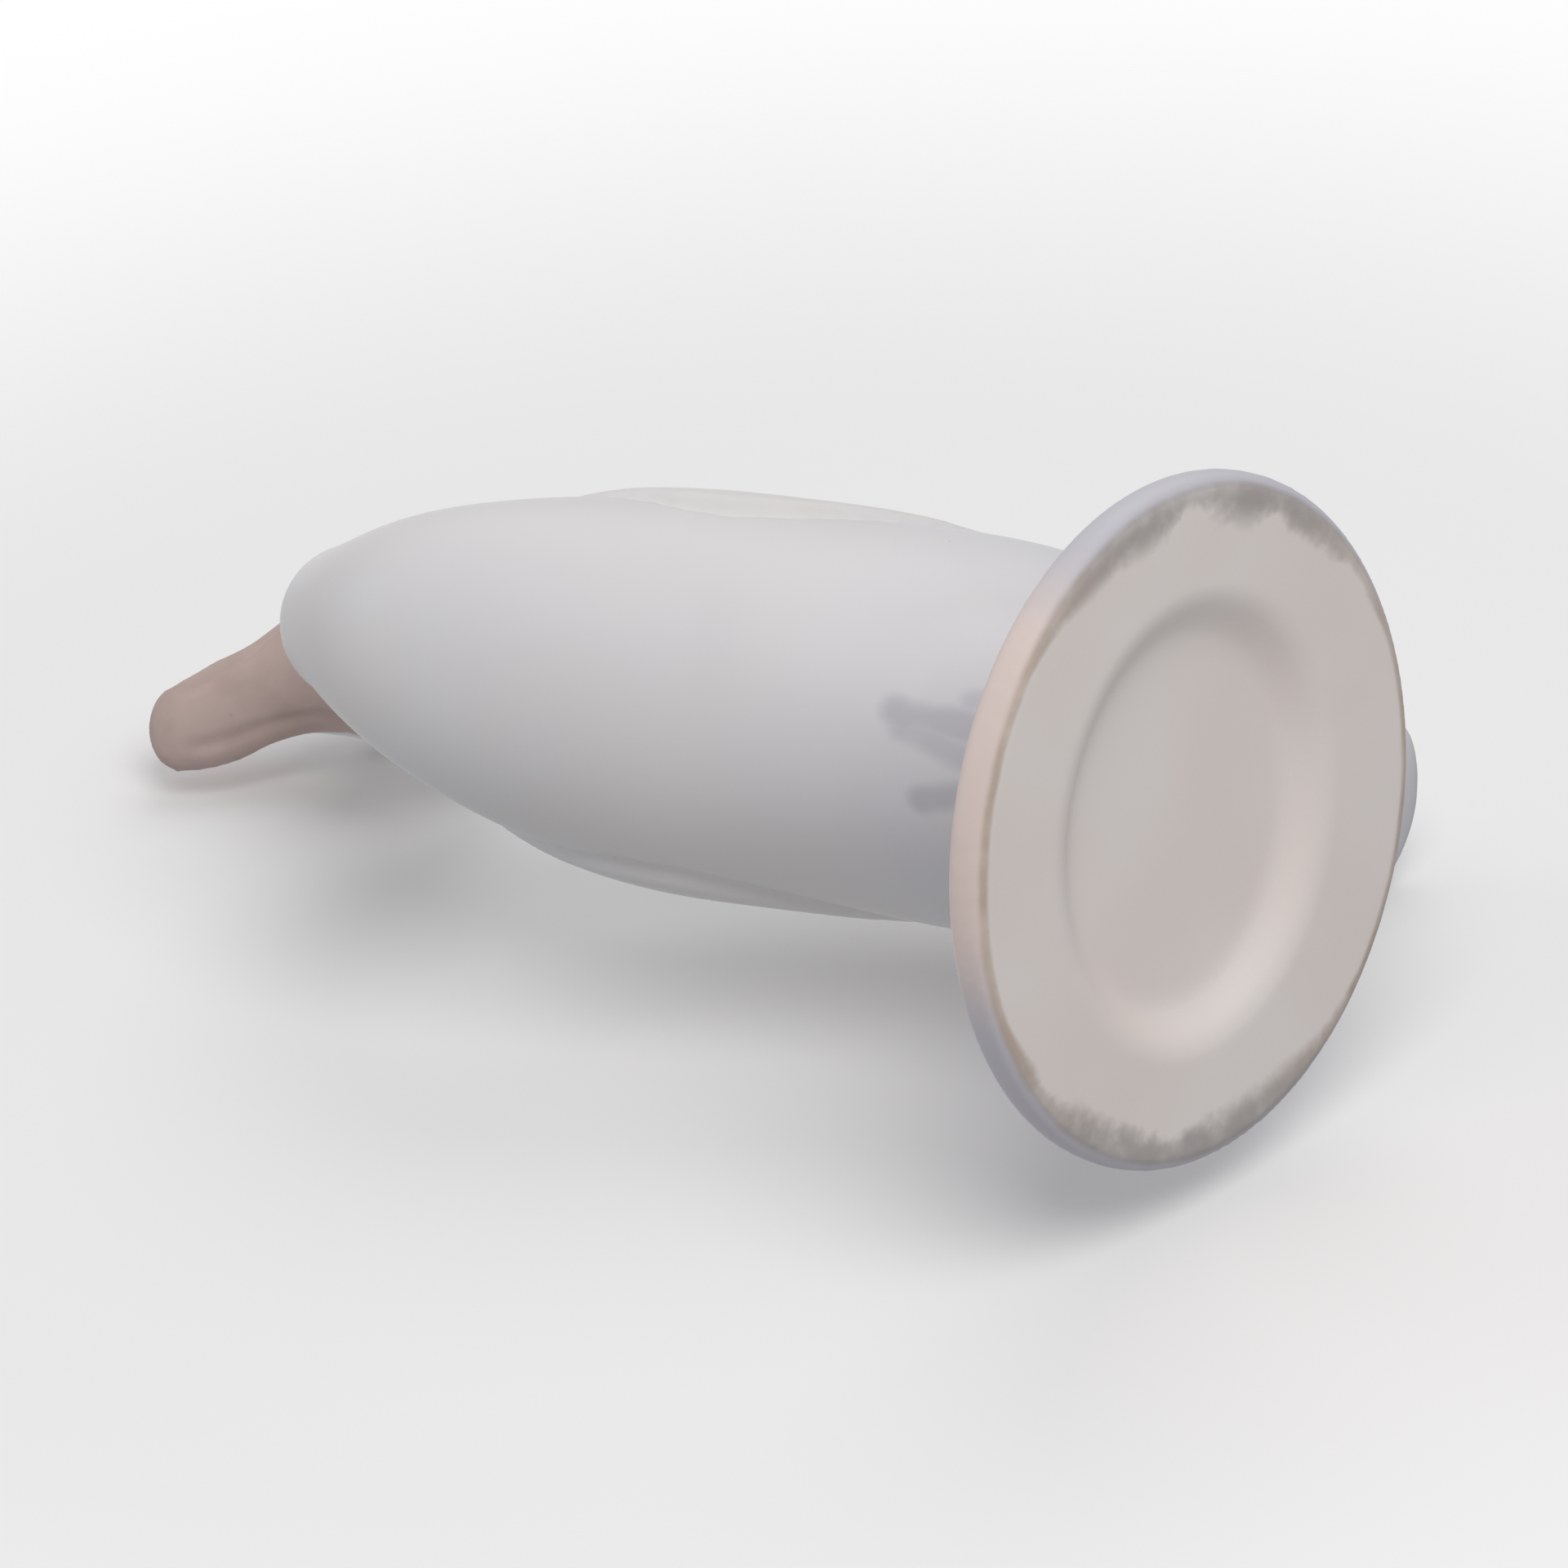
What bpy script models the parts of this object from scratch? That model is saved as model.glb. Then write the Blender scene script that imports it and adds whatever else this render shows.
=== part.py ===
"""Porcelain goose figurine on an oval foot, modelled as the one piece that it is cast as.

Units are metres. +Z is up, the breast faces -Y and the goose's own left side is +X.
The origin is the middle of the footprint, on the surface that the foot rests on.
The goose is lofted through oval sections from the tip of its tail to the tip of its bill,
an egg rounds its head, a mound carries it on the foot, and the foot is hollowed underneath
by a shallow oval recess.
"""
import math
from typing import NamedTuple

import bmesh
import bpy
import numpy as np

MM = 0.001

PORCELAIN_COLOUR = (0.80, 0.79, 0.80, 1.0)
PORCELAIN_ROUGHNESS = 0.38

# Foot
FOOT_WIDTH = 61.0 * MM
FOOT_DEPTH = 54.4 * MM
FOOT_EDGE_HEIGHT = 4.5 * MM
FOOT_HEIGHT = 6.2 * MM
FOOT_LOWER_ROUND = 1.3 * MM
FOOT_UPPER_ROUND = 2.3 * MM
FOOT_LOWER_ARC = 60.0
FOOT_UPPER_ARC = 80.0
FOOT_SIDE = -0.8 * MM
FOOT_FRONT = 1.6 * MM
FOOT_TURN = math.radians(10.4)

# Recess in the underside: the rim is the flat band that the goose stands on
RIM_WIDTH = 8.6 * MM
RECESS_DEPTH = 2.6 * MM
RECESS_WALL_RUN = 4.8 * MM
RECESS_WALL_SHARES = (0.25, 0.5, 0.75, 1.0)
RECESS_FLOOR_SHARES = (0.93, 0.76)

# Folded wings, raised from the flanks
WING_LIFT = 1.15 * MM
WING_ROLL = math.radians(3.5)
WING_EDGE_BLEND = math.radians(7.0)
WING_TOP_BLEND = math.radians(34.0)
WING_TOP_ANGLE = math.radians(84.0)
WING_TOP_SHARE = 0.4

# How finely the surfaces are divided
FOOT_SEGMENTS = 64
FOOT_LOWER_STEPS = 3
FOOT_UPPER_STEPS = 5
MOUND_RINGS = 9
GOOSE_RINGS = 70
NOSE_RINGS = 6
NOSE_START = 0.12
SKULL_RINGS = 14
SKULL_SEGMENTS = 36
SKULL_POLE = 0.12
FLANK_STEPS = 8
CREASE_ANGLE = math.radians(35.0)


class Station(NamedTuple):
    """One oval section of the goose, in millimetres, its height counted from the foot's top."""

    place: str
    side: float
    front: float
    height: float
    half_width: float
    half_depth: float


GOOSE_STATIONS = (
    Station("tail tip", 0.0, -55.5, 19.3, 6.0, 1.5),
    Station("tail", 0.0, -49.8, 20.9, 9.0, 3.5),
    Station("tail root", 0.0, -40.9, 24.8, 10.0, 7.1),
    Station("rump", 0.6, -22.9, 30.6, 16.3, 15.4),
    Station("back", 0.6, -6.8, 43.8, 17.0, 19.2),
    Station("shoulders", -0.3, 3.2, 55.0, 16.7, 17.2),
    Station("breast", 0.0, 17.6, 69.8, 12.3, 10.6),
    Station("neck foot", -0.7, 12.8, 84.6, 7.6, 7.7),
    Station("lower neck", -1.5, 6.8, 92.0, 6.9, 6.5),
    Station("neck", -2.5, -0.7, 94.4, 6.3, 5.5),
    Station("nape", -3.0, -8.5, 94.3, 5.6, 5.0),
    Station("back of head", -5.4, -14.1, 98.7, 7.1, 6.6),
    Station("crown", -6.4, -14.2, 106.3, 7.4, 7.0),
    Station("face", -7.4, -11.0, 111.8, 6.4, 5.9),
    Station("bill root", -9.8, -8.0, 114.1, 5.1, 4.2),
    Station("bill", -12.4, -4.9, 116.2, 4.7, 2.9),
    Station("bill end", -15.1, -2.0, 119.2, 4.2, 2.5),
    Station("bill tip", -16.4, 0.6, 122.0, 3.8, 1.8),
)
TAIL_NOSE = 3.0 * MM
BILL_NOSE = 2.6 * MM

# Skull: an egg that lies over the root of the bill, its middle in millimetres above the foot's top
SKULL_MIDDLE = (-6.5, -15.4, 110.8)
SKULL_AXIS = (-0.50, 0.66, 0.56)
SKULL_HALF_LENGTH = 9.5 * MM
SKULL_HALF_WIDTH = 6.1 * MM
SKULL_TAPER = -0.1


class MoundLevel(NamedTuple):
    """One level oval of the mound between foot and belly, in millimetres."""

    height: float
    front: float
    half_width: float
    half_depth: float


MOUND_LEVELS = (
    MoundLevel(0.0, -3.0, 17.0, 16.5),
    MoundLevel(3.0, -5.0, 12.8, 12.4),
    MoundLevel(8.0, -7.4, 10.6, 10.2),
    MoundLevel(14.0, -8.4, 10.2, 9.8),
    MoundLevel(21.0, -8.6, 11.4, 11.0),
    MoundLevel(28.0, -8.6, 13.0, 12.6),
)


class WingStation(NamedTuple):
    """Lower edge and height of a folded wing at one share of the way from tail to bill."""

    share: float
    edge_angle: float
    lift: float


WING_STATIONS = (
    WingStation(0.05, 38.0, 0.0),
    WingStation(0.09, 34.0, 0.6),
    WingStation(0.16, 31.0, 0.95),
    WingStation(0.24, 23.0, 1.0),
    WingStation(0.28, 13.0, 1.0),
    WingStation(0.32, 0.0, 1.0),
    WingStation(0.36, -11.0, 1.0),
    WingStation(0.40, -16.0, 1.0),
    WingStation(0.43, -12.0, 0.9),
    WingStation(0.45, -3.0, 0.75),
    WingStation(0.475, 9.0, 0.4),
    WingStation(0.50, 23.0, 0.0),
)


def remove_existing_objects():
    for obj in list(bpy.data.objects):
        bpy.data.objects.remove(obj, do_unlink=True)


def natural_spline(knots, values, where):
    """Smooth curve through values at the knots, with no bend at either end."""
    knots = np.asarray(knots, float)
    values = np.asarray(values, float)
    gaps = np.diff(knots)
    slopes = np.diff(values, axis=0) / gaps[:, None]
    count = len(knots)
    system = np.eye(count)
    right = np.zeros_like(values)
    for i in range(1, count - 1):
        system[i, i - 1] = gaps[i - 1]
        system[i, i] = 2.0 * (gaps[i - 1] + gaps[i])
        system[i, i + 1] = gaps[i]
        right[i] = 6.0 * (slopes[i] - slopes[i - 1])
    bends = np.linalg.solve(system, right)
    cell = np.clip(np.searchsorted(knots, where, side="right") - 1, 0, count - 2)
    gap = gaps[cell][:, None]
    ahead = (knots[cell + 1] - where)[:, None]
    behind = (where - knots[cell])[:, None]
    return (
        bends[cell] * ahead**3 / (6.0 * gap)
        + bends[cell + 1] * behind**3 / (6.0 * gap)
        + (values[cell] / gap - bends[cell] * gap / 6.0) * ahead
        + (values[cell + 1] / gap - bends[cell + 1] * gap / 6.0) * behind
    )


def smooth_step(low, high, value):
    share = np.clip((value - low) / (high - low), 0.0, 1.0)
    return share * share * (3.0 - 2.0 * share)


def round_end(share):
    """Factor that closes a section to a round nose over the last stretch of its length."""
    return np.sqrt(1.0 - (1.0 - np.clip(share, 0.0, 1.0)) ** 2)


def spine():
    """Centres, widths, depths and frames of the goose's sections, evenly spaced along it."""
    sections = np.array([station[1:] for station in GOOSE_STATIONS]) * MM
    centres = sections[:, :3] * np.array([1.0, -1.0, 1.0])
    centres[:, 2] += FOOT_HEIGHT
    sizes = sections[:, 3:]
    steps = np.linalg.norm(np.diff(centres, axis=0), axis=1)
    knots = np.concatenate([[0.0], np.cumsum(steps)])
    nose = 1.0 - np.cos(np.linspace(NOSE_START, math.pi / 2.0, NOSE_RINGS))
    body = np.linspace(TAIL_NOSE, knots[-1] - BILL_NOSE, GOOSE_RINGS)
    along = np.concatenate([nose[:-1] * TAIL_NOSE, body, knots[-1] - nose[-2::-1] * BILL_NOSE])
    points = natural_spline(knots, centres, along)
    rounding = round_end(along / TAIL_NOSE) * round_end((knots[-1] - along) / BILL_NOSE)
    spans = natural_spline(knots, sizes, along) * rounding[:, None]
    tangents = np.gradient(points, along, axis=0)
    tangents /= np.linalg.norm(tangents, axis=1)[:, None]
    sides = np.zeros_like(points)
    side = np.array([1.0, 0.0, 0.0])
    for i, tangent in enumerate(tangents):
        side = side - tangent * side.dot(tangent)
        side /= np.linalg.norm(side)
        sides[i] = side
    backs = np.cross(tangents, sides)
    return points, spans, sides, backs, along / knots[-1]


def flank_angles(edge):
    """Angles up one flank, closer together where a wing's lower edge steps in."""
    half = WING_EDGE_BLEND / 2.0
    step = [edge - half, edge + half]
    upper = np.linspace(edge + half, math.pi / 2.0, FLANK_STEPS)[1:-1]
    lower = np.linspace(-math.pi / 2.0, edge - half, FLANK_STEPS)[1:-1]
    return np.concatenate([[-math.pi / 2.0], lower, step, upper, [math.pi / 2.0]])


def ring_angles(edge):
    """Angles round a section, up the left flank and down the right one."""
    left = flank_angles(edge + WING_ROLL)
    right = math.pi - flank_angles(edge - WING_ROLL)[1:-1][::-1]
    return np.concatenate([left, right])


def wing_lift(share, angle):
    """How far a folded wing stands out of the body at one place."""
    table = np.array(WING_STATIONS)
    edge = math.radians(np.interp(share, table[:, 0], table[:, 1])) + np.sign(np.cos(angle)) * WING_ROLL
    height = np.interp(share, table[:, 0], table[:, 2], left=0.0, right=0.0) * WING_LIFT
    up = np.arctan2(np.sin(angle), np.abs(np.cos(angle)))
    half = WING_EDGE_BLEND / 2.0
    stands = smooth_step(edge - half, edge + half, up)
    fades = 1.0 - smooth_step(WING_TOP_ANGLE - WING_TOP_BLEND, WING_TOP_ANGLE, up)
    return height * stands * (WING_TOP_SHARE + (1.0 - WING_TOP_SHARE) * fades)


def goose_rings():
    points, spans, sides, backs, shares = spine()
    table = np.array(WING_STATIONS)
    rings = []
    for point, (width, depth), side, back, share in zip(points, spans, sides, backs, shares):
        edge = math.radians(np.interp(share, table[:, 0], table[:, 1]))
        angles = ring_angles(edge)
        across = np.cos(angles)[:, None] * side
        upward = np.sin(angles)[:, None] * back
        outward = across / width + upward / depth
        outward /= np.linalg.norm(outward, axis=1)[:, None]
        lift = wing_lift(share, angles)[:, None]
        rings.append(point + across * width + upward * depth + outward * lift)
    return rings


def skull_frame():
    """Middle of the skull's egg, its long axis, and its right and under directions."""
    middle = np.array(SKULL_MIDDLE) * np.array([1.0, -1.0, 1.0]) * MM
    middle[2] += FOOT_HEIGHT
    axis = np.array(SKULL_AXIS) * np.array([1.0, -1.0, 1.0])
    axis /= np.linalg.norm(axis)
    right = np.cross(axis, np.array([0.0, 1.0, 0.0]))
    right /= np.linalg.norm(right)
    return middle, axis, right, np.cross(axis, right)


def skull_radius(turn):
    """Radius of the egg at an angle from its hind end."""
    return SKULL_HALF_WIDTH * math.sin(turn) * (1.0 + SKULL_TAPER * math.cos(turn))


def skull_rings():
    """Circles of the skull's egg, from its hind end to its forehead."""
    middle, axis, right, under = skull_frame()
    around = np.linspace(0.0, 2.0 * math.pi, SKULL_SEGMENTS, endpoint=False)
    circle = np.cos(around)[:, None] * right + np.sin(around)[:, None] * under
    rings = []
    for turn in np.linspace(SKULL_POLE, math.pi - SKULL_POLE, SKULL_RINGS):
        along = middle - axis * SKULL_HALF_LENGTH * math.cos(turn)
        rings.append(along + circle * skull_radius(turn))
    return rings


def oval(half_width, half_depth, height, side, front, turn):
    """Level oval about a middle, its long axis turned from the goose's side towards its breast."""
    around = np.linspace(0.0, 2.0 * math.pi, FOOT_SEGMENTS, endpoint=False)
    along = half_width * np.cos(around)
    across = half_depth * np.sin(around)
    x = side + along * math.cos(turn) - across * math.sin(turn)
    y = -front - along * math.sin(turn) - across * math.cos(turn)
    return np.stack([x, y, np.full(FOOT_SEGMENTS, height)], axis=1)


def round_profile(radius, start, end, steps):
    """Inset and rise along a round edge, from its start angle to its end angle."""
    for angle in np.linspace(math.radians(start), math.radians(end), steps):
        yield radius * (1.0 - math.cos(angle)), radius * math.sin(angle)


def foot_rings():
    """Ovals of the foot and its mound, from the middle of the recess out, round and up."""
    half_width = FOOT_WIDTH / 2.0
    half_depth = FOOT_DEPTH / 2.0
    rim_outer = FOOT_LOWER_ROUND
    rim_inner = FOOT_LOWER_ROUND + RIM_WIDTH

    def foot_oval(inset, height):
        return oval(half_width - inset, half_depth - inset, height, FOOT_SIDE, FOOT_FRONT, FOOT_TURN)

    rings = [foot_oval(half_depth * share, RECESS_DEPTH) for share in RECESS_FLOOR_SHARES]
    rings.append(foot_oval(rim_inner + RECESS_WALL_RUN, RECESS_DEPTH))
    for share in RECESS_WALL_SHARES:
        fall = (1.0 - math.cos(math.pi * share)) / 2.0
        inset = rim_inner + RECESS_WALL_RUN * (1.0 - share)
        rings.append(foot_oval(inset, RECESS_DEPTH * (1.0 - fall)))
    rings.append(foot_oval(rim_outer, 0.0))
    for inset, rise in round_profile(FOOT_LOWER_ROUND, FOOT_LOWER_ARC, 0.0, FOOT_LOWER_STEPS):
        rings.append(foot_oval(inset, FOOT_LOWER_ROUND - rise))
    upper_start = FOOT_EDGE_HEIGHT - FOOT_UPPER_ROUND
    for inset, rise in round_profile(FOOT_UPPER_ROUND, 0.0, FOOT_UPPER_ARC, FOOT_UPPER_STEPS):
        rings.append(foot_oval(inset, upper_start + rise))
    levels = np.array(MOUND_LEVELS) * MM
    heights = np.linspace(levels[0, 0], levels[-1, 0], MOUND_RINGS)
    for height in heights:
        front, width, depth = (np.interp(height, levels[:, 0], column) for column in levels.T[1:])
        rings.append(oval(width, depth, FOOT_HEIGHT + height, 0.0, front, 0.0))
    return rings


def skin(name, rings):
    """Closed mesh over a row of rings that all have the same number of points."""
    mesh = bpy.data.meshes.new(name)
    work = bmesh.new()
    rows = [[work.verts.new(point) for point in ring] for ring in rings]
    for lower, upper in zip(rows, rows[1:]):
        for i in range(len(lower)):
            following = (i + 1) % len(lower)
            work.faces.new((lower[i], lower[following], upper[following], upper[i]))
    work.faces.new(rows[0])
    work.faces.new(rows[-1])
    bmesh.ops.recalc_face_normals(work, faces=work.faces)
    work.to_mesh(mesh)
    work.free()
    obj = bpy.data.objects.new(name, mesh)
    bpy.context.scene.collection.objects.link(obj)
    return obj


def porcelain():
    material = bpy.data.materials.new("satin_porcelain")
    material.use_nodes = True
    shader = material.node_tree.nodes["Principled BSDF"]
    shader.inputs["Base Color"].default_value = PORCELAIN_COLOUR
    shader.inputs["Roughness"].default_value = PORCELAIN_ROUGHNESS
    shader.inputs["Metallic"].default_value = 0.0
    material.diffuse_color = PORCELAIN_COLOUR
    return material


def unite(whole, tool):
    """Unite the tool's solid with the whole and take the tool away."""
    union = whole.modifiers.new("unite_" + tool.name, "BOOLEAN")
    union.operation = "UNION"
    union.solver = "EXACT"
    union.object = tool
    evaluated = whole.evaluated_get(bpy.context.evaluated_depsgraph_get())
    mesh = bpy.data.meshes.new_from_object(evaluated)
    whole.modifiers.clear()
    whole.data = mesh
    bpy.data.objects.remove(tool, do_unlink=True)


def centre_on_footprint(solids):
    """Move the solids so that the whole figure's box is centred over the origin."""
    corners = [vertex.co for solid in solids for vertex in solid.data.vertices]
    middle_x = (min(c.x for c in corners) + max(c.x for c in corners)) / 2.0
    middle_y = (min(c.y for c in corners) + max(c.y for c in corners)) / 2.0
    for solid in solids:
        for vertex in solid.data.vertices:
            vertex.co.x -= middle_x
            vertex.co.y -= middle_y


def build():
    remove_existing_objects()
    figurine = skin("goose_figurine", foot_rings())
    bird = skin("goose_above_foot", goose_rings())
    skull = skin("skull_above_neck", skull_rings())
    centre_on_footprint((figurine, bird, skull))
    unite(figurine, bird)
    unite(figurine, skull)
    figurine.data.materials.clear()
    figurine.data.materials.append(porcelain())
    figurine.data.shade_smooth()
    figurine.data.set_sharp_from_angle(angle=CREASE_ANGLE)


build()
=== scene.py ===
"""Looks of the porcelain goose figurine: its modelled and glazed body, stage, lights and camera.

Tables of sections and marks are in millimetres: side towards the goose's own left, front towards
its breast, height from the surface that the foot stands on. Everything else is in metres.
"""
import math
from typing import NamedTuple

import bmesh
import bpy
import numpy as np
from mathutils import Matrix, Vector
from mathutils.kdtree import KDTree


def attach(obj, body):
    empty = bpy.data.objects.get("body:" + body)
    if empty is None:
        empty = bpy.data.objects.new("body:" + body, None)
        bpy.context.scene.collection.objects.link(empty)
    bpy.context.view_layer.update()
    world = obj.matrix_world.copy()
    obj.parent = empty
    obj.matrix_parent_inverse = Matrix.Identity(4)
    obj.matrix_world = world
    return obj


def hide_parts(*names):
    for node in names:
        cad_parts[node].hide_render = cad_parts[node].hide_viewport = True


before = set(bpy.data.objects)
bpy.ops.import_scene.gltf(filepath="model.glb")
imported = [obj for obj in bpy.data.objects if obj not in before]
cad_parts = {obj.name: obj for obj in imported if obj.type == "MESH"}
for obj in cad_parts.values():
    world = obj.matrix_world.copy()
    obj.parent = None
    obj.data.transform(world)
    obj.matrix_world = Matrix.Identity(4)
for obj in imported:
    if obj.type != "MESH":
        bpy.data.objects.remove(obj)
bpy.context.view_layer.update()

MM = 0.001
FIGURINE = "goose_figurine"

# Foot
FOOT_WIDTH = 61.0 * MM
FOOT_DEPTH = 54.4 * MM
FOOT_EDGE_HEIGHT = 4.5 * MM
FOOT_HEIGHT = 6.2 * MM
FOOT_LOWER_ROUND = 1.3 * MM
FOOT_UPPER_ROUND = 2.3 * MM
FOOT_LOWER_ARC = 60.0
FOOT_UPPER_ARC = 80.0
FOOT_SIDE = -0.8 * MM
FOOT_FRONT = 1.6 * MM
FOOT_TURN = math.radians(10.4)
RIM_WIDTH = 8.6 * MM
RECESS_DEPTH = 2.6 * MM
RECESS_WALL_RUN = 4.8 * MM
RECESS_FLOOR_SHARES = (0.95, 0.85, 0.76)

# Folded wings
WING_LIFT = 1.15 * MM
WING_ROLL = math.radians(3.5)
WING_EDGE_BLEND = math.radians(7.0)
WING_TOP_BLEND = math.radians(34.0)
WING_TOP_ANGLE = math.radians(84.0)
WING_TOP_SHARE = 0.4

# How finely the porcelain is modelled
FOOT_SEGMENTS = 360
FOOT_LOWER_STEPS = 6
FOOT_UPPER_STEPS = 12
RIM_STEPS = 11
RECESS_WALL_STEPS = 10
MOUND_RINGS = 60
GOOSE_RINGS = 260
NOSE_RINGS = 10
NOSE_START = 0.12
SKULL_RINGS = 60
SKULL_SEGMENTS = 96
SKULL_POLE = 0.05
FLANK_STEPS = 60
EDGE_STEPS = 8
GRAIN = 0.58 * MM
GLAZE_PASSES = 5
JOIN_PASSES = 90
PASS_SHARE = 0.5


class Station(NamedTuple):
    """One oval section of the goose, its height counted from the foot's top."""

    place: str
    side: float
    front: float
    height: float
    half_width: float
    half_depth: float


GOOSE_STATIONS = (
    Station("tail tip", 0.0, -55.5, 19.3, 6.0, 1.5),
    Station("tail", 0.0, -49.8, 20.9, 9.0, 3.5),
    Station("tail root", 0.0, -40.9, 24.8, 10.0, 7.1),
    Station("rump", 0.6, -22.9, 30.6, 16.3, 15.4),
    Station("back", 0.6, -6.8, 43.8, 17.0, 19.2),
    Station("shoulders", -0.3, 3.2, 55.0, 16.7, 17.2),
    Station("breast", 0.0, 17.6, 69.8, 12.3, 10.6),
    Station("neck foot", -0.7, 12.8, 84.6, 7.6, 7.7),
    Station("lower neck", -1.5, 6.8, 92.0, 6.9, 6.5),
    Station("neck", -2.5, -0.7, 94.4, 6.3, 5.5),
    Station("nape", -3.0, -8.5, 94.3, 5.6, 5.0),
    Station("back of head", -5.4, -14.1, 98.7, 7.1, 6.6),
    Station("crown", -6.4, -14.2, 106.3, 7.4, 7.0),
    Station("face", -7.4, -11.0, 111.8, 6.4, 5.9),
    Station("bill root", -9.8, -8.0, 114.1, 5.1, 4.2),
    Station("bill", -12.4, -4.9, 116.2, 4.7, 2.9),
    Station("bill end", -15.1, -2.0, 119.2, 4.2, 2.5),
    Station("bill tip", -16.4, 0.6, 122.0, 3.8, 1.8),
)
TAIL_NOSE = 3.0 * MM
BILL_NOSE = 2.6 * MM

# Skull: an egg that lies over the root of the bill, its middle in millimetres above the foot's top
SKULL_MIDDLE = (-7.0, -14.7, 111.4)
SKULL_AXIS = (-0.50, 0.66, 0.56)
SKULL_HALF_LENGTH = 8.4 * MM
SKULL_HALF_WIDTH = 6.1 * MM
SKULL_TAPER = -0.1


class MoundLevel(NamedTuple):
    """One level oval of the mound between foot and belly, its height counted from the foot's top."""

    height: float
    front: float
    half_width: float
    half_depth: float


MOUND_LEVELS = (
    MoundLevel(0.0, -3.0, 17.0, 16.5),
    MoundLevel(3.0, -5.0, 12.8, 12.4),
    MoundLevel(8.0, -7.4, 10.6, 10.2),
    MoundLevel(14.0, -8.4, 10.2, 9.8),
    MoundLevel(21.0, -8.6, 11.4, 11.0),
    MoundLevel(28.0, -8.6, 13.0, 12.6),
)


class WingStation(NamedTuple):
    """Lower edge and height of a folded wing at one share of the way from tail to bill."""

    share: float
    edge_angle: float
    lift: float


WING_STATIONS = (
    WingStation(0.05, 38.0, 0.0),
    WingStation(0.09, 34.0, 0.6),
    WingStation(0.16, 31.0, 0.95),
    WingStation(0.24, 23.0, 1.0),
    WingStation(0.28, 13.0, 1.0),
    WingStation(0.32, 0.0, 1.0),
    WingStation(0.36, -11.0, 1.0),
    WingStation(0.40, -16.0, 1.0),
    WingStation(0.43, -12.0, 0.9),
    WingStation(0.45, -3.0, 0.75),
    WingStation(0.475, 9.0, 0.4),
    WingStation(0.50, 23.0, 0.0),
)

# Where the belly melts into the mound, the neck into the back and the skull into the bill:
# middle, full strength and reach in millimetres
JOINS = (
    ((0.0, -7.0, 33.0), (11.0, 20.0)),
    ((-0.6, 4.0, 84.0), (4.0, 10.0)),
    ((-10.0, -11.0, 119.0), (7.0, 10.0)),
)
JOIN_STRENGTHS = (1.0, 0.6, 0.8)


class Groove(NamedTuple):
    """A line carved in the goose between two shares of its length, its angles counted up from the
    middle of either flank, in degrees, and its width and depth in millimetres."""

    start: float
    end: float
    start_angle: float
    end_angle: float
    half_width: float
    depth: float


MOUTH = Groove(0.895, 0.985, -21.0, -38.0, 0.5, 0.34)
MOUTH_LIP = Groove(0.895, 0.985, 1.0, -16.0, 0.95, -0.22)
BILL_RIDGE = Groove(0.915, 0.99, 90.0, 90.0, 1.1, -0.22)
FEATHERS = (
    Groove(0.045, 0.27, 47.0, 29.0, 0.75, 0.26),
    Groove(0.045, 0.23, 61.0, 44.0, 0.75, 0.26),
    Groove(0.050, 0.19, 75.0, 60.0, 0.75, 0.22),
    Groove(0.060, 0.30, 36.0, 16.0, 0.6, 0.14),
    Groove(0.004, 0.060, 20.0, 20.0, 0.7, 0.16),
    Groove(0.004, 0.075, 62.0, 62.0, 0.7, 0.18),
    Groove(0.004, 0.085, 90.0, 90.0, 0.7, 0.18),
)
GROOVE_FADE = 0.15

# Crease under each wing's lower edge: its place as a share of the edge's blend, reach and depth
CREASE_BELOW = 0.45
CREASE_REACH = 1.3
CREASE_DEPTH = 0.55

# Where the head begins and where the goose rises from the foot
HEAD_SHARE = 0.80
HEAD_HEIGHT = 98.0
GOOSE_FROM = (14.0, 18.0)

# Eyes and nostrils, on both sides of the head
EYE_TURN = math.radians(96.0)
EYE_LIFT = math.radians(30.0)
EYE_RADIUS = 1.3
EYE_RISE = 0.4
NOSTRIL_SHARE = 0.937
NOSTRIL_ANGLE = 48.0
NOSTRIL_RADIUS = 0.7
NOSTRIL_DEPTH = 0.3

# Webbed feet on the foot's top, each fanning out from a heel: its side, front and heading
HEELS = ((7.0, -3.0, 14.0), (-7.0, -3.0, -14.0))
FEET_REACH = 26.0
FEET_START = (2.0, 9.0)
FEET_SIDES = (24.0, 28.0)
FEET_EDGE_HEIGHT = (2.4, 4.2)
FEET_TOP_HEIGHT = (14.0, 20.0)
FEET_LEVEL_FROM = 0.4
WEB_RISE = 0.55
WEB_END = 1.2
SCALLOP_DEPTH = 2.2
SCALLOP_TURN = 46.0
TOES = (-23.0, 0.0, 23.0)
TOE_HALF_WIDTH = 1.5
TOE_RISE = 0.75
TOE_END = 1.5

# Camera
CAMERA_PLACE = (87.1, 983.1, -866.0)
CAMERA_AIM = (-3.2, 34.1, 18.0)
CAMERA_ROLL = math.radians(284.5078)
CAMERA_LENS = 352.83
CAMERA_SENSOR = 36.0
CAMERA_CLIP = (0.05, 10.0)


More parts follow.
